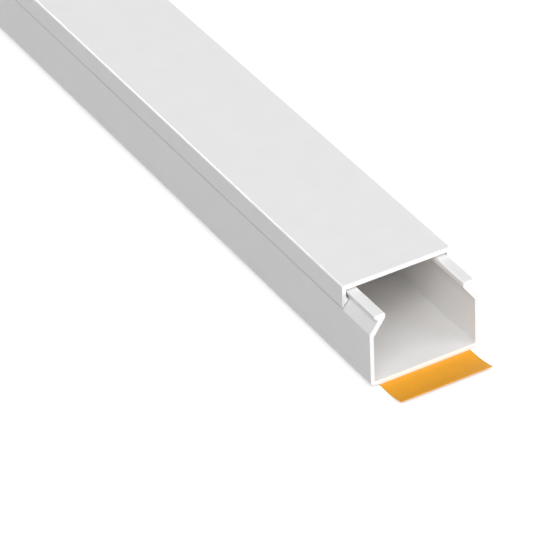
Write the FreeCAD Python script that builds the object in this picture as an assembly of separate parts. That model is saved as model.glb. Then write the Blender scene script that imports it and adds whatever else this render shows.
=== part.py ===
# Self-adhesive cord cover raceway: a clip-on cover on a U-shaped channel, both white extruded
# plastic, with a double-sided tape along the underside and its release liner still on.
# Millimetres. X runs along the length, with the set-back end of the cover at +X. Y is across,
# Z is up. The origin is the centre of the liner's lower face, which lies on the wall or table.
import FreeCAD
import Part

import math
import os

# Stock sizes
LENGTH = 400.0
WIDTH = 25.0
HEIGHT = 18.0  # channel and cover together, without tape and liner
COVER_SET_BACK = 10.0  # how far the cover is pushed back from the channel's front end

# Fits between the cover and the channel
COVER_GAP = 0.15  # beside the lips, and between the skirt's edge and the shoulder
LIP_HEADROOM = 0.35  # from the lips up to the cover's underside

# Channel
WALL = 0.9
FLOOR = 0.9
BOTTOM_CORNER_RADIUS = 1.0
FLOOR_FILLET = 0.25
SHOULDER_HEIGHT = 12.45  # where the outside of the side wall turns inwards
SHOULDER_RADIUS = 0.5
SHOULDER_INNER_HEIGHT = 11.55
SHOULDER_INNER_RADIUS = 0.3
NECK_LEAN = 38.0  # of the neck's outside, in degrees from upright
GROOVE_FOOT_DROP = 2.05  # from the lip's top down to where the neck steepens
GROOVE_FOOT_RADIUS = 0.2
GROOVE_CUT = 0.4  # how far the groove under the nose goes in behind its foot
GROOVE_RADIUS = 0.25
LIP_THICKNESS = 1.2
LIP_WIDTH = 2.55  # from the nose to the lip's inner face
LIP_TOP_RADIUS = 0.5  # of the lip's inner top edge
LIP_OUTER_RADIUS = 0.3  # of its outer top edge, above the nose
LIP_INNER_DROP = 1.25  # height of the lip's upright inner face
LIP_INNER_RADIUS = 0.4
NOSE_FACE = 0.55  # height of the nose's upright face
NOSE_UNDERCUT = 0.5  # how far the nose's underside leans in
NOSE_RADIUS = 0.15

# Cover
PLATE = 1.1
FLANGE = 0.9
COVER_CORNER_RADIUS = 0.5
COVER_INNER_FILLET = 0.2
BARB_REACH = 0.45  # from the flange's inner face to the barb's tip
BARB_ROOT_DROP = 1.55  # these three are below the plate's underside
BARB_TIP_DROP = 2.5
SKIRT_ROOT_DROP = 3.45
BARB_TIP_RADIUS = 0.12
BARB_ROOT_RADIUS = 0.2
SKIRT_ROOT_THICKNESS = 0.35
SKIRT_ROOT_RADIUS = 0.6
SKIRT_TIP_THICKNESS = 0.2

# Tape and liner
TAPE_WIDTH = 21.0
TAPE = 0.25
LINER = 0.15
TAB_LENGTH = 8.0  # of the liner, past the channel's front end
TAB_FLAT = 1.5  # the first stretch of the tab, which lies flat
TAB_CURL_RADIUS = 24.0

# Places that follow from the sizes above
HALF_LENGTH = LENGTH / 2
HALF_WIDTH = WIDTH / 2
CHANNEL_BOTTOM = LINER + TAPE
SHOULDER = CHANNEL_BOTTOM + SHOULDER_HEIGHT
COVER_TOP = CHANNEL_BOTTOM + HEIGHT
PLATE_UNDERSIDE = COVER_TOP - PLATE
FLANGE_INNER = HALF_WIDTH - FLANGE
LIP_TOP = PLATE_UNDERSIDE - LIP_HEADROOM
NOSE = FLANGE_INNER - COVER_GAP
NECK_ANGLE = math.radians(NECK_LEAN)


def neck_outside(z):
    """How far the outside of the leaning neck is from the middle at height z."""
    return HALF_WIDTH - (z - SHOULDER) * math.tan(NECK_ANGLE)


def channel_half():
    """The channel's right half, from the outer bottom corner over the lip and down to the floor.

    Each corner is its distance from the middle, its height and its rounding radius."""
    groove_foot = LIP_TOP - GROOVE_FOOT_DROP
    lip_underside = LIP_TOP - LIP_THICKNESS
    lip_inner = NOSE - LIP_WIDTH
    wall_inner = HALF_WIDTH - WALL
    return [
        (HALF_WIDTH, CHANNEL_BOTTOM, BOTTOM_CORNER_RADIUS),
        (HALF_WIDTH, SHOULDER, SHOULDER_RADIUS),
        (neck_outside(groove_foot), groove_foot, GROOVE_FOOT_RADIUS),
        (neck_outside(groove_foot) - GROOVE_CUT, lip_underside, GROOVE_RADIUS),
        (NOSE - NOSE_UNDERCUT, lip_underside, NOSE_RADIUS),
        (NOSE, LIP_TOP - NOSE_FACE, NOSE_RADIUS),
        (NOSE, LIP_TOP, LIP_OUTER_RADIUS),
        (lip_inner, LIP_TOP, LIP_TOP_RADIUS),
        (lip_inner, LIP_TOP - LIP_INNER_DROP, LIP_INNER_RADIUS),
        (wall_inner, CHANNEL_BOTTOM + SHOULDER_INNER_HEIGHT, SHOULDER_INNER_RADIUS),
        (wall_inner, CHANNEL_BOTTOM + FLOOR, FLOOR_FILLET),
    ]


def cover_half():
    """The cover's right half, from the outer top corner round the skirt and barb to the underside."""
    skirt_edge = SHOULDER + COVER_GAP / math.sin(NECK_ANGLE)
    skirt_chamfer = SKIRT_TIP_THICKNESS / math.tan(NECK_ANGLE)
    return [
        (HALF_WIDTH, COVER_TOP, COVER_CORNER_RADIUS),
        (HALF_WIDTH, skirt_edge, 0.0),
        (HALF_WIDTH - SKIRT_TIP_THICKNESS, skirt_edge + skirt_chamfer, 0.0),
        (HALF_WIDTH - SKIRT_ROOT_THICKNESS, PLATE_UNDERSIDE - SKIRT_ROOT_DROP, SKIRT_ROOT_RADIUS),
        (FLANGE_INNER - BARB_REACH, PLATE_UNDERSIDE - BARB_TIP_DROP, BARB_TIP_RADIUS),
        (FLANGE_INNER, PLATE_UNDERSIDE - BARB_ROOT_DROP, BARB_ROOT_RADIUS),
        (FLANGE_INNER, PLATE_UNDERSIDE, COVER_INNER_FILLET),
    ]


def rounded_outline(corners):
    """A closed wire in the YZ plane, with each corner rounded by a tangent arc of its radius."""
    points = [FreeCAD.Vector(0, y, z) for y, z, radius in corners]
    starts, middles, ends = [], [], []
    for i, (y, z, radius) in enumerate(corners):
        back = (points[i - 1] - points[i]).normalize()
        ahead = (points[(i + 1) % len(points)] - points[i]).normalize()
        half_angle = back.getAngle(ahead) / 2
        inwards = (back + ahead).normalize()
        starts.append(points[i] + back * (radius / math.tan(half_angle)))
        middles.append(points[i] + inwards * radius * (1 / math.sin(half_angle) - 1))
        ends.append(points[i] + ahead * (radius / math.tan(half_angle)))
    edges = []
    for i, (y, z, radius) in enumerate(corners):
        if radius > 0:
            edges.append(Part.Arc(starts[i], middles[i], ends[i]).toShape())
        next_start = starts[(i + 1) % len(starts)]
        edges.append(Part.LineSegment(ends[i], next_start).toShape())
    return Part.Wire(edges)


def extrusion(half, front):
    """The section of which half is the right side, LENGTH long, with its front end at X = front."""
    left = [(-y, z, radius) for y, z, radius in reversed(half)]
    face = Part.Face(rounded_outline(half + left))
    face.translate(FreeCAD.Vector(front, 0, 0))
    return face.extrude(FreeCAD.Vector(-LENGTH, 0, 0))


def base_channel():
    return extrusion(channel_half(), HALF_LENGTH)


def cover():
    return extrusion(cover_half(), HALF_LENGTH - COVER_SET_BACK)


def adhesive_tape():
    return Part.makeBox(LENGTH, TAPE_WIDTH, TAPE, FreeCAD.Vector(-HALF_LENGTH, -TAPE_WIDTH / 2, LINER))


def release_liner():
    """A strip as wide as the tape, with a free tab that curls up a little past the front end."""
    curl_start = HALF_LENGTH + TAB_FLAT
    turn = (TAB_LENGTH - TAB_FLAT) / TAB_CURL_RADIUS

    def on_curl(radius, angle):
        x = curl_start + radius * math.sin(angle)
        return FreeCAD.Vector(x, -TAPE_WIDTH / 2, TAB_CURL_RADIUS - radius * math.cos(angle))

    lower = [on_curl(TAB_CURL_RADIUS, turn * share) for share in (0, 0.5, 1)]
    upper = [on_curl(TAB_CURL_RADIUS - LINER, turn * share) for share in (1, 0.5, 0)]
    rear_lower = FreeCAD.Vector(-HALF_LENGTH, -TAPE_WIDTH / 2, 0)
    rear_upper = FreeCAD.Vector(-HALF_LENGTH, -TAPE_WIDTH / 2, LINER)
    side = Part.Wire(
        [
            Part.LineSegment(rear_lower, lower[0]).toShape(),
            Part.Arc(*lower).toShape(),
            Part.LineSegment(lower[-1], upper[0]).toShape(),
            Part.Arc(*upper).toShape(),
            Part.LineSegment(upper[-1], rear_upper).toShape(),
            Part.LineSegment(rear_upper, rear_lower).toShape(),
        ]
    )
    return Part.Face(side).extrude(FreeCAD.Vector(0, TAPE_WIDTH, 0))


def main():
    os.makedirs("parts", exist_ok=True)
    for piece in (base_channel, cover, adhesive_tape, release_liner):
        shape = piece()
        shape.exportStep(f"parts/{piece.__name__}.step")
        print(piece.__name__, "valid", shape.isValid(), "volume", round(shape.Volume, 1), "mm3")


main()
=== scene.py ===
"""Looks of a self-adhesive cord cover raceway: white extruded channel and cover, tape and liner.

Metres. X runs along the length, with the end where the cover is set back at +X, and Z is up.
"""

import math

import bmesh
import bpy
from bpy.props import FloatProperty, FloatVectorProperty, IntProperty, PointerProperty
from mathutils import Matrix, Vector


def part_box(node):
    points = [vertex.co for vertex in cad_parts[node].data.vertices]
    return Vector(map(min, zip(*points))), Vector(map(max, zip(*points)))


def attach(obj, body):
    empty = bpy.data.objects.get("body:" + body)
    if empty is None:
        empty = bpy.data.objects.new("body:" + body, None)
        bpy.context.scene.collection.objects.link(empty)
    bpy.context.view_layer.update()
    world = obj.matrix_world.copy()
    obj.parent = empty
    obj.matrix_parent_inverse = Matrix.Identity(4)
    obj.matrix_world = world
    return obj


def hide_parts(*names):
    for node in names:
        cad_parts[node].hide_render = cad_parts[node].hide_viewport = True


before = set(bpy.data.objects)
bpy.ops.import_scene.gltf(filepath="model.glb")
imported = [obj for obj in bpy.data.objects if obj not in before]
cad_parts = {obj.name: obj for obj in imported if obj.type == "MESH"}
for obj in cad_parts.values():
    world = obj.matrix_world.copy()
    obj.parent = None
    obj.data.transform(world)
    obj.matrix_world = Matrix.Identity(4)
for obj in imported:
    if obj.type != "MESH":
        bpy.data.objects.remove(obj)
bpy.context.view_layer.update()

bl_info = {
    "name": "Cord Cover Raceway",
    "version": (1, 0, 0),
    "blender": (4, 5, 0),
    "location": "View3D > Sidebar > Raceway",
    "description": "Dresses a cord cover raceway: channel, cover, tape, liner and a studio",
    "category": "Object",
}

MM = 0.001
WHITE = (1, 1, 1)

CHANNEL_LOW, CHANNEL_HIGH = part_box("base_channel")
COVER_LOW, COVER_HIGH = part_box("cover")
LINER_LOW, LINER_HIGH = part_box("release_liner")
FRONT_END = CHANNEL_HIGH.x

# The photograph, in pixels from its top left corner
IMAGE_SIDE = 550
FRONT_END_SEEN = (425.53, 366.17)  # the middle of the channel's underside at its front end

# Meshes
SAME_PLACE = 0.001 * MM
SOFTENED_FROM = math.radians(50)  # edges that turn by more are softened
SHARP_FROM = math.radians(60)  # edges that still turn by more are shaded sharp
END_STEEPNESS = 0.9  # a face whose normal has more than this along X is one of the two ends

# Patterns of the materials: sizes of patches, heights of relief, and stretches, each of which is
# the scale along the way that the patches are long, and makes them longer the smaller it is
DIE_STRETCH = 0.004
PLASTIC_CLOUD = 6 * MM
PEEL = 1.6 * MM
PEEL_STRETCH = 0.3
PEEL_HEIGHT = 0.002 * MM
SAW_BEND = 9 * MM
SAW_STRETCH = 0.25
SAW_GRAIN = 0.12 * MM
SAW_HEIGHT = 0.006 * MM
FILM_CLOUD = 0.8 * MM
FILM_STRETCH = 0.3
FILM_HEIGHT = 0.02 * MM
FIBRE = 0.35 * MM
FIBRE_STRETCH = 0.35
FIBRE_HEIGHT = 0.004 * MM
PAPER_CLOUD = 4 * MM
WAVE_PERIOD = math.pi / 10  # of the wave texture at a scale of 1
NOISE_LOW, NOISE_HIGH = 0.3, 0.7  # most of a noise texture's values lie between these
MOTTLE_LOW, MOTTLE_HIGH = 0.7, 1.3  # the same for two noise textures added up

PLASTIC_IOR = 1.53
SAWN_ROUGHNESS = 0.62
FILM_ROUGHNESS = 0.5
LINER_SPECULAR = 0.15
FLOOR_ROUGHNESS = 0.9

# Sides of the lamps
LAMP = (2.5, 2.5)
WIDE_LAMP = (3.0, 3.0)
SMALL_LAMP = (0.5, 0.5)
STRIP_LAMP = (0.8, 3.2)
STRIP_UP = (0, 0.85, 0.53)  # the strip's long side leans this way

CAMERA_REACH = (0.01, 100.0)  # the nearest and the farthest that the camera sees


def length_setting(name, description, default):
    """A length in metres that the sidebar shows in the scene's units."""
    return FloatProperty(
        name=name, description=description, default=default, min=0.0, precision=5, unit="LENGTH"
    )


def share_setting(name, description, default):
    """A number from 0 to 1."""
    return FloatProperty(
        name=name, description=description, default=default, min=0.0, max=1.0, subtype="FACTOR"
    )


def colour_setting(name, description, default):
    """A linear colour."""
    return FloatVectorProperty(
        name=name, description=description, default=default, min=0.0, max=1.0, subtype="COLOR"
    )


def angle_setting(name, description, degrees):
    """An angle, given here in degrees."""
    return FloatProperty(
        name=name, description=description, default=math.radians(degrees), subtype="ANGLE"
    )


def direction_setting(name, description, default):
    """A direction of any length."""
    return FloatVectorProperty(
        name=name, description=description, default=default, subtype="DIRECTION"
    )


class RacewayPlasticSettings(bpy.types.PropertyGroup):
    """The white plastic of the channel and the cover, and the meshes of the extruded pieces."""

    colour: colour_setting("Plastic", "Colour of the extruded skin", (0.88, 0.864, 0.848))
    sawn_colour: colour_setting("Cut face", "Colour of the sawn ends", (0.93, 0.922, 0.912))
    roughness: share_setting("Roughness", "Roughness of the extruded skin", 0.22)
    line_spacing: length_setting("Line spacing", "Between the faint lines left by the die", 0.45 * MM)
    line_height: length_setting("Line height", "Height of the lines left by the die", 0.0005 * MM)
    # Joint shade is painted shade: it darkens the plastic's colour along the joint line, where the
    # seam's shadow falls.
    joint_shade: share_setting("Joint shade", "Darkening of the joint line by dust", 0.5)
    joint_reach: length_setting("Joint reach", "From the joint line to where its shade ends", 0.35 * MM)
    saw_spacing: length_setting("Saw mark spacing", "Between marks on the sawn ends", 1.3823 * MM)
    edge_break: length_setting("Edge break", "Width of the softened edges", 0.05 * MM)
    station_spacing: length_setting("Station spacing", "Between the sections of the mesh", 20 * MM)


class RacewayLinerSettings(bpy.types.PropertyGroup):
    """The release liner and the tape that it covers."""

    colour: colour_setting("Liner", "Colour of the siliconised paper", (0.934, 0.408, 0.027))
    tape_colour: colour_setting("Tape", "Colour of the tape's edge", (0.8, 0.77, 0.7))
    roughness: share_setting("Roughness", "Roughness of the liner's silicone side", 0.38)
    thickness: length_setting("Thickness", "Of the paper", 0.15 * MM)
    curl_radius: length_setting("Curl radius", "Of the loose tab's curl", 24 * MM)
    curl_start: length_setting("Curl start", "Where the curl starts, past the front end", 1.5 * MM)
    cockle: length_setting("Cockle", "Height of the waves in the loose tab", 0.1 * MM)
    wave_spacing: length_setting("Wave spacing", "Between the waves in the loose tab", 7 * MM)
    cell: length_setting("Cell", "Of the loose tab's mesh", 0.5 * MM)
    seed: IntProperty(name="Seed", description="Picks the waves in the loose tab", default=4)


class RacewayStudioSettings(bpy.types.PropertyGroup):
    """Floor, lights and camera. A lamp's light is the share of full white that it gives a white face."""

    floor_size: length_setting("Floor size", "Side of the square floor", 12.0)
    floor_colour: colour_setting("Floor", "The floor's as it lights the object", (0.27, 0.27, 0.27))
    floor_glow: share_setting("Floor glow", "Added to the white floor that the camera sees", 0.3)
    light_colour: colour_setting("Light", "Colour of the sky and the lamps", (0.965, 0.982, 1.0))
    lamp_distance: length_setting("Lamp distance", "From the object to each lamp", 4.0)
    sky: share_setting("Sky", "Even light from all round", 0.3)
    key: share_setting("Key", "Light of the high lamp in front, on the left", 0.445)
    key_direction: direction_setting("Key direction", "To the key lamp", (0.54, -0.4, 0.74))
    fill: share_setting("Fill", "Light of the wide lamp in front, on the right", 0.55)
    fill_direction: direction_setting("Fill direction", "To the fill lamp", (0.65, 0.6, 0.47))
    side: share_setting("Side", "Light of the weak lamp on the left", 0.125)
    side_direction: direction_setting("Side direction", "To the side lamp", (0.1, -0.87, 0.48))
    end: share_setting("End", "Light of the low lamp in front of the cut faces", 0.28)
    end_direction: direction_setting("End direction", "To the end lamp", (1.0, 0.0, 0.05))
    edge: share_setting("Edge", "Light of the strip lamp, which shows in gloss alone", 0.49)
    edge_direction: direction_setting("Edge direction", "To the strip lamp", (-0.76, -0.34, 0.56))
    back: share_setting("Back", "Light of the low lamp behind the object", 0.15)
    back_direction: direction_setting("Back direction", "To the back lamp", (-0.45, 0.88, 0.12))
    azimuth: angle_setting("Azimuth", "The camera's, from -Y towards +X", 61.449)
    elevation: angle_setting("Elevation", "The camera's, above the floor", 35.025)
    roll: angle_setting("Roll", "The camera's turn about its own axis", -2.790)
    distance: length_setting("Distance", "From the camera to the channel's front end", 0.63356)
    focal_pixels: FloatProperty(
        name="Focal length", description="In pixels of the picture", default=3236.9
    )


class RacewaySettings(bpy.types.PropertyGroup):
    """All settings of the raceway."""

    plastic: PointerProperty(type=RacewayPlasticSettings)
    liner: PointerProperty(type=RacewayLinerSettings)
    studio: PointerProperty(type=RacewayStudioSettings)


class TreeBuilder:
    """A node tree, built with short calls."""

    def __init__(self, tree):
        self.tree = tree

    def give(self, socket, value):
        """Links the value to the socket where it is a node's output, and otherwise sets it."""
        if isinstance(value, bpy.types.NodeSocket):
            self.tree.links.new(value, socket)
        else:
            socket.default_value = value

    def add(self, kind, values=None, **settings):
        """A node with its settings, and values or links for its inputs by name or number."""
        node = self.tree.nodes.new(kind)
        for key, value in settings.items():
            setattr(node, key, value)
        for key, value in (values or {}).items():
            self.give(node.inputs[key], value)
        return node

    def math(self, operation, first, second=0.0):
        """The result of a Math node."""
        return self.add("ShaderNodeMath", {0: first, 1: second}, operation=operation).outputs[0]


class ShaderBuilder(TreeBuilder):
    """A new material's node tree."""

    def __init__(self, name):
        self.material = bpy.data.materials.new(name)
        self.material.use_nodes = True
        super().__init__(self.material.node_tree)
        self.position = self.add("ShaderNodeTexCoord").outputs["Object"]

    def stretched(self, x, y=1, z=1):
        """The position with each axis scaled."""
        mapping = self.add("ShaderNodeMapping", {"Vector": self.position, "Scale": (x, y, z)})
        return mapping.outputs["Vector"]

    def noise(self, vector, size, detail=2.0, roughness=0.5):
        """Clouds with patches of this size."""
        values = {"Vector": vector, "Scale": 1 / size, "Detail": detail, "Roughness": roughness}
        return self.add("ShaderNodeTexNoise", values).outputs["Fac"]

    def range(self, value, low, high, source_low=NOISE_LOW, source_high=NOISE_HIGH):
        """The value, moved from its source range, by default that of a noise, to low..high."""
        values = {
            "Value": value,
            "From Min": source_low,
            "From Max": source_high,
            "To Min": low,
            "To Max": high,
        }
        return self.add("ShaderNodeMapRange", values).outputs["Result"]

    def blend(self, factor, low, high):
        """The colour low where the factor is 0, and the colour high where it is 1."""
        values = {"Factor": factor, "A": (*low, 1), "B": (*high, 1)}
        return self.add("ShaderNodeMix", values, data_type="RGBA").outputs["Result"]

    def tint(self, factor, colour, darker):
        """The colour, darkened by up to a share where the factor is low."""
        return self.blend(factor, [c * (1 - darker) for c in colour], colour)

    def bump(self, height, distance, below=None):
        """The normal over a relief of this height in metres, which may lie on another relief."""
        values = {"Height": height, "Distance": distance, "Strength": 1.0}
        if below is not None:
            values["Normal"] = below
        return self.add("ShaderNodeBump", values).outputs["Normal"]

    def finish(self, **inputs):
        """Sets or links the surface's inputs, named with underscores for spaces."""
        surface = self.tree.nodes["Principled BSDF"]
        for key, value in inputs.items():
            self.give(surface.inputs[key.replace("_", " ")], value)
        return self.material


# The mask of the painted shade along the joint line.
def joint_line(shader, settings):
    """How near a point is to the line where the cover's edges meet the channel's sides, from 0 to 1."""
    place = shader.add("ShaderNodeSeparateXYZ", {0: shader.position}).outputs
    height = shader.math("ABSOLUTE", shader.math("SUBTRACT", place["Z"], COVER_LOW.z))
    nearness = shader.range(height, 1, 0, 0, settings.joint_reach)
    off_middle = shader.math("ABSOLUTE", place["Y"])
    outside = shader.math("GREATER_THAN", off_middle, COVER_HIGH.y - settings.joint_reach)
    covered = shader.math("LESS_THAN", place["X"], COVER_HIGH.x)
    return shader.math("MULTIPLY", nearness, shader.math("MULTIPLY", outside, covered))


def shared_material(name, build, settings):
    """The material of this name, built when it is first asked for."""
    return bpy.data.materials.get(name) or build(name, settings)


def extruded_plastic(name, settings):
    """Satin white plastic with faint lines along the length, as the die leaves them."""
    shader = ShaderBuilder(name)
    lines = shader.noise(shader.stretched(DIE_STRETCH), settings.line_spacing)
    cloud = shader.noise(shader.position, PLASTIC_CLOUD)
    peel = shader.noise(shader.stretched(PEEL_STRETCH), PEEL, detail=1.0)
    skin = shader.bump(peel, PEEL_HEIGHT)
    # Painted shade: the colour is darkened along the joint line, where the seam's shadow falls.
    painted_shade = shader.range(joint_line(shader, settings), 1, 1 - settings.joint_shade, 0, 1)
    tone_and_painted_shade = shader.math("MULTIPLY", shader.range(cloud, 0.98, 1), painted_shade)
    return shader.finish(
        Base_Color=shader.tint(tone_and_painted_shade, settings.colour, darker=1.0),
        Roughness=shader.range(lines, settings.roughness - 0.01, settings.roughness + 0.02),
        Normal=shader.bump(lines, settings.line_height, below=skin),
        IOR=PLASTIC_IOR,
    )


def sawn_plastic(name, settings):
    """The frosted white of a sawn end, with low marks across it."""
    shader = ShaderBuilder(name)
    bent = shader.noise(shader.position, SAW_BEND, detail=0.0)
    marks = shader.add(
        "ShaderNodeTexWave",
        {
            "Vector": shader.stretched(0, 1, SAW_STRETCH),
            "Scale": WAVE_PERIOD / settings.saw_spacing,
            "Distortion": shader.range(bent, 1.0, 3.0),
            "Detail": 2.0,
            "Detail Scale": 2.0,
        },
        bands_direction="Y",
    )
    grain = shader.noise(shader.position, SAW_GRAIN)
    frosted = shader.bump(grain, SAW_HEIGHT)
    return shader.finish(
        Base_Color=shader.tint(shader.range(grain, 0, 1), settings.sawn_colour, darker=0.03),
        Roughness=SAWN_ROUGHNESS,
        Normal=shader.bump(marks.outputs["Fac"], SAW_HEIGHT, below=frosted),
        IOR=PLASTIC_IOR,
    )


def tape_film(name, settings):
    """Cloudy adhesive film, a little yellow."""
    shader = ShaderBuilder(name)
    cloud = shader.noise(shader.stretched(FILM_STRETCH), FILM_CLOUD, detail=3.0)
    return shader.finish(
        Base_Color=shader.tint(shader.range(cloud, 0, 1), settings.tape_colour, darker=0.08),
        Roughness=FILM_ROUGHNESS,
        Normal=shader.bump(cloud, FILM_HEIGHT),
    )


def liner_paper(name, settings):
    """Amber paper with short fibres and a silicone sheen."""
    shader = ShaderBuilder(name)
    fibres = shader.noise(shader.stretched(FIBRE_STRETCH), FIBRE, detail=4.0, roughness=0.6)
    cloud = shader.noise(shader.position, PAPER_CLOUD)
    mottled = shader.range(shader.math("ADD", fibres, cloud), 0, 1, MOTTLE_LOW, MOTTLE_HIGH)
    return shader.finish(
        Base_Color=shader.tint(mottled, settings.colour, darker=0.07),
        Roughness=shader.range(cloud, settings.roughness - 0.04, settings.roughness + 0.06),
        Normal=shader.bump(fibres, FIBRE_HEIGHT),
        Specular_IOR_Level=LINER_SPECULAR,
    )


class GeometryBuilder(TreeBuilder):
    """A new geometry node tree with named inputs of the kinds Float, Int and Material."""

    def __init__(self, name, inputs):
        super().__init__(bpy.data.node_groups.new(name, "GeometryNodeTree"))
        sockets = self.tree.interface
        sockets.new_socket("Geometry", in_out="INPUT", socket_type="NodeSocketGeometry")
        for label, kind in inputs.items():
            sockets.new_socket(label, in_out="INPUT", socket_type="NodeSocket" + kind)
        sockets.new_socket("Geometry", in_out="OUTPUT", socket_type="NodeSocketGeometry")
        self.given = self.tree.nodes.new("NodeGroupInput").outputs
        self.result = self.tree.nodes.new("NodeGroupOutput").inputs[0]

    def point(self, x, y, z):
        """A place or a direction from its three coordinates."""
        return self.add("ShaderNodeCombineXYZ", {"X": x, "Y": y, "Z": z}).outputs[0]

    def realized(self, geometry):
        """The geometry with its instances made real."""
        return self.add("GeometryNodeRealizeInstances", {"Geometry": geometry}).outputs[0]

    def paint(self, geometry, material, selection=True):
        """The geometry with the material on its selected faces."""
        values = {"Geometry": geometry, "Selection": selection, "Material": material}
        return self.add("GeometryNodeSetMaterial", values).outputs[0]

    def finish(self, geometry):
        """Makes the geometry the tree's result."""
        self.give(self.result, geometry)
        return self.tree


def extrusion_tree():
    """Pulls the object's own outline along X from the front end to the rear end, with closed ends."""
    build = GeometryBuilder(
        "extrusion",
        {
            "Front": "Float",
            "Rear": "Float",
            "Station Spacing": "Float",
            "Skin": "Material",
            "Cut Face": "Material",
        },
    )
    given = build.given
    outline = build.add("GeometryNodeMeshToCurve", {"Mesh": given["Geometry"]})
    path = build.add(
        "GeometryNodeCurvePrimitiveLine",
        {"Start": build.point(given["Front"], 0, 0), "End": build.point(given["Rear"], 0, 0)},
    )
    stations = build.add(
        "GeometryNodeResampleCurve",
        {"Curve": path.outputs[0], "Length": given["Station Spacing"]},
        mode="LENGTH",
    )
    pulled = build.add(
        "GeometryNodeCurveToMesh",
        {"Curve": stations.outputs[0], "Profile Curve": outline.outputs[0], "Fill Caps": True},
    )
    facing = build.add("ShaderNodeSeparateXYZ", {0: build.add("GeometryNodeInputNormal").outputs[0]})
    steepness = build.math("ABSOLUTE", facing.outputs["X"])
    is_end = build.add(
        "FunctionNodeCompare", {"A": steepness, "B": END_STEEPNESS}, operation="GREATER_THAN"
    )
    skin = build.paint(build.realized(pulled.outputs[0]), given["Skin"])
    return build.finish(build.paint(skin, given["Cut Face"], is_end.outputs[0]))


def liner_tree():
    """A flat strip of paper whose tab, past the front end, curls up along an arc and has low waves.

    The grid's first column lies at the rear end and its second where the curl starts, so its first
    cell is the flat stretch, and the others are the curl, each about as long as Cell."""
    build = GeometryBuilder(
        "liner",
        {
            "Rear": "Float",
            "Curl Start": "Float",
            "Curl Length": "Float",
            "Curl Radius": "Float",
            "Width": "Float",
            "Cell": "Float",
            "Cockle": "Float",
            "Wave Spacing": "Float",
            "Seed": "Int",
            "Paper": "Material",
        },
    )
    given = build.given
    columns = build.math("ROUND", build.math("DIVIDE", given["Curl Length"], given["Cell"]))
    rows = build.math("ROUND", build.math("DIVIDE", given["Width"], given["Cell"]))
    sheet = build.add(
        "GeometryNodeMeshGrid",
        {
            "Size X": 1.0,
            "Size Y": given["Width"],
            "Vertices X": build.math("ADD", columns, 2.0),
            "Vertices Y": build.math("ADD", rows, 1.0),
        },
    )
    place = build.add("ShaderNodeSeparateXYZ", {0: build.add("GeometryNodeInputPosition").outputs[0]})
    across = place.outputs["Y"]
    from_rear = build.math("ADD", place.outputs["X"], 0.5)
    column = build.math("MULTIPLY", from_rear, build.math("ADD", columns, 1.0))
    share = build.math("DIVIDE", build.math("SUBTRACT", column, 1.0), columns)
    curled = build.math("MULTIPLY", share, given["Curl Length"])
    turn = build.math("DIVIDE", curled, given["Curl Radius"])
    forward = build.math("MULTIPLY", build.math("SINE", turn), given["Curl Radius"])
    curled_x = build.math("ADD", given["Curl Start"], forward)
    fall = build.math("SUBTRACT", 1.0, build.math("COSINE", turn))
    lift = build.math("MULTIPLY", fall, given["Curl Radius"])
    waves = build.add(
        "ShaderNodeTexNoise",
        {
            "Vector": build.point(curled_x, across, 0),
            "W": given["Seed"],
            "Scale": build.math("DIVIDE", 1.0, given["Wave Spacing"]),
            "Detail": 1.0,
        },
        noise_dimensions="4D",
    )
    wave = build.math("MULTIPLY", build.math("MULTIPLY", waves.outputs[0], given["Cockle"]), share)
    is_rear = build.add("FunctionNodeCompare", {"A": column, "B": 0.5}, operation="LESS_THAN")
    position = build.add(
        "GeometryNodeSwitch",
        {
            "Switch": is_rear.outputs[0],
            "False": build.point(curled_x, across, build.math("ADD", lift, wave)),
            "True": build.point(given["Rear"], across, 0),
        },
        input_type="VECTOR",
    )
    laid = build.add(
        "GeometryNodeSetPosition", {"Geometry": sheet.outputs["Mesh"], "Position": position.outputs[0]}
    )
    return build.finish(build.paint(build.realized(laid.outputs[0]), given["Paper"]))


def apply_modifiers(piece):
    """Turns what the piece's modifiers make of it into its own plain mesh."""
    bpy.context.view_layer.update()
    evaluated = piece.evaluated_get(bpy.context.evaluated_depsgraph_get())
    piece.data = bpy.data.meshes.new_from_object(evaluated)
    piece.modifiers.clear()


def linked_object(name, data):
    """An object with the given data, in the scene."""
    obj = bpy.data.objects.new(name, data)
    bpy.context.scene.collection.objects.link(obj)
    return obj


def shade_smooth(piece):
    """Smooth shading that keeps flat faces flat beside narrow bevels."""
    piece.data.shade_smooth()
    piece.data.set_sharp_from_angle(angle=SHARP_FROM)
    weighted = piece.modifiers.new("Weighted Normal", "WEIGHTED_NORMAL")
    weighted.keep_sharp = True
    apply_modifiers(piece)


def piece_from_tree(name, mesh, tree, values, finishing, settings):
    """A smooth object: what the tree makes of the mesh, after one finishing modifier."""
    piece = linked_object(name, mesh)
    nodes = piece.modifiers.new("Nodes", "NODES")
    nodes.node_group = tree
    for item in tree.interface.items_tree:
        if item.in_out == "INPUT" and item.name in values:
            nodes[item.identifier] = values[item.name]
    modifier = piece.modifiers.new(finishing.title(), finishing)
    for key, value in settings.items():
        setattr(modifier, key, value)
    apply_modifiers(piece)
    shade_smooth(piece)
    return piece


def is_cap(face, front):
    """Whether a face lies in the plane of the front end."""
    return all(abs(vert.co.x - front) < SAME_PLACE for vert in face.verts)


def is_rim(edge, front):
    """Whether an edge lies between the front cap and a side."""
    return sum(is_cap(face, front) for face in edge.link_faces) == 1


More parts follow.
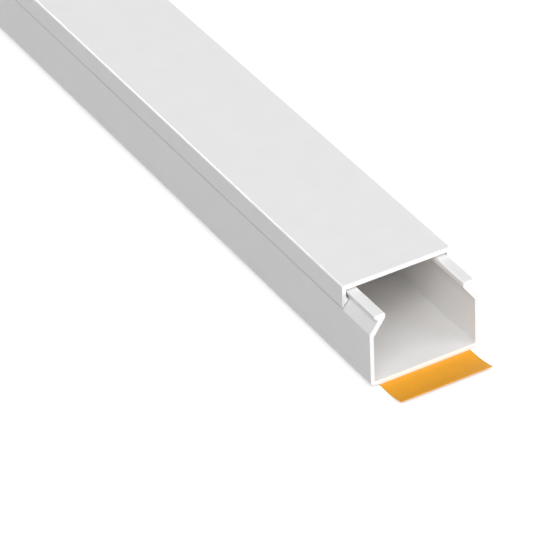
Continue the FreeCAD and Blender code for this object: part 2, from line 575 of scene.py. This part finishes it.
def section_outline(node):
    """The outline of an extruded node's front end, as a mesh with across in X and down in Y.

    It runs round so that the faces of its extrusion to the rear point outwards."""
    solid = bmesh.new()
    solid.from_mesh(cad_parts[node].data)
    bmesh.ops.remove_doubles(solid, verts=solid.verts, dist=SAME_PLACE)
    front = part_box(node)[1].x
    following = {}
    for edge in solid.edges:
        if is_rim(edge, front):
            for loop in edge.link_loops:
                if is_cap(loop.face, front):
                    following[loop.vert] = loop.link_loop_next.vert
    start = min(following, key=lambda vert: (vert.co.z, vert.co.y))
    corners = [start]
    while following[corners[-1]] is not start:
        corners.append(following[corners[-1]])
    places = [(corner.co.y, -corner.co.z, 0) for corner in reversed(corners)]
    solid.free()
    outline = bpy.data.meshes.new(node + "_outline")
    count = len(places)
    outline.from_pydata(places, [(i, (i + 1) % count) for i in range(count)], [])
    return outline


def extruded_piece(name, node, skin, cut_face, settings):
    """An extrusion with the node's own section and ends, softened edges and smooth corners."""
    low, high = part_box(node)
    values = {
        "Front": high.x,
        "Rear": low.x,
        "Station Spacing": settings.station_spacing,
        "Skin": skin,
        "Cut Face": cut_face,
    }
    bevel = {
        "width": settings.edge_break,
        "segments": 2,
        "limit_method": "ANGLE",
        "angle_limit": SOFTENED_FROM,
        "use_clamp_overlap": False,
    }
    outline = section_outline(node)
    return piece_from_tree(name, outline, extrusion_tree(), values, "BEVEL", bevel)


def settle(piece, node, body):
    """The piece takes the node's place and rides on its body."""
    piece.data.name = piece.name
    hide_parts(node)
    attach(piece, body)


class RACEWAY_OT_channel(bpy.types.Operator):
    """Makes the channel with its hooked lips"""

    bl_idname = "raceway.channel"
    bl_label = "Channel"

    def execute(self, context):
        settings = context.scene.raceway.plastic
        skin = shared_material("channel_skin", extruded_plastic, settings)
        cut_face = shared_material("sawn_ends", sawn_plastic, settings)
        piece = extruded_piece("channel", "base_channel", skin, cut_face, settings)
        settle(piece, "base_channel", "channel_body")
        return {"FINISHED"}


class RACEWAY_OT_cover(bpy.types.Operator):
    """Makes the cover with its barbed flanges"""

    bl_idname = "raceway.cover"
    bl_label = "Cover"

    def execute(self, context):
        settings = context.scene.raceway.plastic
        skin = shared_material("cover_skin", extruded_plastic, settings)
        cut_face = shared_material("sawn_ends", sawn_plastic, settings)
        piece = extruded_piece("clip_cover", "cover", skin, cut_face, settings)
        settle(piece, "cover", "cover_body")
        return {"FINISHED"}


class RACEWAY_OT_tape(bpy.types.Operator):
    """Makes the double-sided tape along the underside"""

    bl_idname = "raceway.tape"
    bl_label = "Tape"

    def execute(self, context):
        settings = context.scene.raceway
        film = shared_material("tape_film", tape_film, settings.liner)
        piece = extruded_piece("tape", "adhesive_tape", film, film, settings.plastic)
        settle(piece, "adhesive_tape", "channel_body")
        return {"FINISHED"}


class RACEWAY_OT_liner(bpy.types.Operator):
    """Makes the release liner with its loose tab"""

    bl_idname = "raceway.liner"
    bl_label = "Release Liner"

    def execute(self, context):
        settings = context.scene.raceway.liner
        curl_start = FRONT_END + settings.curl_start
        tip_turn = math.asin((LINER_HIGH.x - curl_start) / settings.curl_radius)
        values = {
            "Rear": LINER_LOW.x,
            "Curl Start": curl_start,
            "Curl Length": tip_turn * settings.curl_radius,
            "Curl Radius": settings.curl_radius,
            "Width": LINER_HIGH.y - LINER_LOW.y,
            "Cell": settings.cell,
            "Cockle": settings.cockle,
            "Wave Spacing": settings.wave_spacing,
            "Seed": settings.seed,
            "Paper": shared_material("amber_paper", liner_paper, settings),
        }
        thickness = {"thickness": settings.thickness, "offset": 1.0, "use_even_offset": True}
        empty = bpy.data.meshes.new("liner_start")
        piece = piece_from_tree("liner", empty, liner_tree(), values, "SOLIDIFY", thickness)
        settle(piece, "release_liner", "channel_body")
        return {"FINISHED"}


def softbox(name, size, settings, up=(0, 0, 1), gloss_alone=False):
    """A rectangular lamp whose light and direction the settings hold under its name.

    Its second side leans towards up. It may show in gloss alone, and then it lights no face. At a
    distance d, an energy of (pi * d) ** 2 lights a white face turned to the lamp to full white."""
    lamp = bpy.data.lights.new(name, "AREA")
    lamp.shape = "RECTANGLE"
    lamp.size, lamp.size_y = size
    lamp.color = settings.light_colour
    lamp.energy = getattr(settings, name) * (math.pi * settings.lamp_distance) ** 2
    towards = Vector(getattr(settings, name + "_direction")).normalized()
    across = Vector(up).cross(towards).normalized()
    turn = Matrix((across, towards.cross(across), towards)).transposed()
    middle = Vector((0, 0, CHANNEL_HIGH.z / 2))
    obj = linked_object(name, lamp)
    obj.matrix_world = Matrix.Translation(middle + towards * settings.lamp_distance) @ turn.to_4x4()
    obj.visible_diffuse = not gloss_alone


def shown_rays(build):
    """A socket that is 1 for rays that show the studio: to the camera, in gloss and through glass."""
    rays = build.add("ShaderNodeLightPath").outputs
    seen = build.math("MAXIMUM", rays["Is Camera Ray"], rays["Is Glossy Ray"])
    return build.math("MAXIMUM", seen, rays["Is Transmission Ray"])


def studio_world(settings):
    """Even light from all round, in front of a plain white backdrop."""
    world = bpy.data.worlds.new("studio")
    world.use_nodes = True
    bpy.context.scene.world = world
    build = TreeBuilder(world.node_tree)
    light = build.tree.nodes["Background"]
    build.give(light.inputs["Color"], (*settings.light_colour, 1))
    build.give(light.inputs["Strength"], settings.sky)
    backdrop = build.add("ShaderNodeBackground", {"Color": (*WHITE, 1), "Strength": 1.0})
    mix = build.add(
        "ShaderNodeMixShader",
        {"Fac": shown_rays(build), 1: light.outputs[0], 2: backdrop.outputs[0]},
    )
    build.give(build.tree.nodes["World Output"].inputs["Surface"], mix.outputs[0])


def studio_floor(settings):
    """A floor at the height that the raceway lies on, white to the camera and greyer as it lights."""
    half = settings.floor_size / 2
    corners = [(-half, -half, 0), (half, -half, 0), (half, half, 0), (-half, half, 0)]
    mesh = bpy.data.meshes.new("floor")
    mesh.from_pydata(corners, [], [(0, 1, 2, 3)])
    floor = linked_object("floor", mesh)
    shader = ShaderBuilder("floor")
    shown = shown_rays(shader)
    material = shader.finish(
        Base_Color=shader.blend(shown, settings.floor_colour, WHITE),
        Roughness=FLOOR_ROUGHNESS,
        Specular_IOR_Level=0.0,
        Emission_Color=(*WHITE, 1),
        Emission_Strength=shader.math("MULTIPLY", shown, settings.floor_glow),
    )
    mesh.materials.append(material)


def photo_camera(settings):
    """The camera that sees the channel's front end at its place in the photograph."""
    azimuth, elevation, roll = settings.azimuth, settings.elevation, settings.roll
    back = Vector(
        (
            math.sin(azimuth) * math.cos(elevation),
            -math.cos(azimuth) * math.cos(elevation),
            math.sin(elevation),
        )
    )
    right = (-back).cross(Vector((0, 0, 1))).normalized()
    up = right.cross(-back)
    across = right * math.cos(roll) + up * math.sin(roll)
    upward = -right * math.sin(roll) + up * math.cos(roll)
    seen_x, seen_y = FRONT_END_SEEN
    middle = IMAGE_SIDE / 2
    scale = settings.distance / settings.focal_pixels
    target = Vector((FRONT_END, 0, CHANNEL_LOW.z))
    place = target - across * (seen_x - middle) * scale + upward * (seen_y - middle) * scale
    place += back * settings.distance
    data = bpy.data.cameras.new("camera")
    data.lens = settings.focal_pixels * data.sensor_width / IMAGE_SIDE
    data.clip_start, data.clip_end = CAMERA_REACH
    camera = linked_object("camera", data)
    axes = Matrix((across, upward, back)).transposed()
    camera.matrix_world = Matrix.Translation(place) @ axes.to_4x4()
    bpy.context.scene.camera = camera


class RACEWAY_OT_studio(bpy.types.Operator):
    """Makes the floor, the lights and the camera"""

    bl_idname = "raceway.studio"
    bl_label = "Studio"

    def execute(self, context):
        settings = context.scene.raceway.studio
        studio_floor(settings)
        studio_world(settings)
        softbox("key", LAMP, settings)
        softbox("fill", WIDE_LAMP, settings)
        softbox("side", LAMP, settings)
        softbox("end", SMALL_LAMP, settings)
        softbox("edge", STRIP_LAMP, settings, up=STRIP_UP, gloss_alone=True)
        softbox("back", LAMP, settings)
        photo_camera(settings)
        context.scene.view_settings.view_transform = "Standard"
        return {"FINISHED"}


class RACEWAY_PT_sidebar(bpy.types.Panel):
    """Lists the raceway's pieces and settings"""

    bl_idname = "RACEWAY_PT_sidebar"
    bl_label = "Cord Cover Raceway"
    bl_space_type = "VIEW_3D"
    bl_region_type = "UI"
    bl_category = "Raceway"

    def draw(self, context):
        settings = context.scene.raceway
        for operator in STEPS:
            self.layout.operator(operator.bl_idname)
        for group in (settings.plastic, settings.liner, settings.studio):
            box = self.layout.box()
            for key in group.__annotations__:
                box.prop(group, key)


STEPS = (RACEWAY_OT_channel, RACEWAY_OT_cover, RACEWAY_OT_tape, RACEWAY_OT_liner, RACEWAY_OT_studio)
CLASSES = (
    RacewayPlasticSettings,
    RacewayLinerSettings,
    RacewayStudioSettings,
    RacewaySettings,
    *STEPS,
    RACEWAY_PT_sidebar,
)


def register():
    for kind in CLASSES:
        bpy.utils.register_class(kind)
    bpy.types.Scene.raceway = PointerProperty(type=RacewaySettings)


def unregister():
    del bpy.types.Scene.raceway
    for kind in reversed(CLASSES):
        bpy.utils.unregister_class(kind)


def main():
    register()
    bpy.ops.raceway.channel()
    bpy.ops.raceway.cover()
    bpy.ops.raceway.tape()
    bpy.ops.raceway.liner()
    bpy.ops.raceway.studio()


if __name__ == "__main__":
    main()
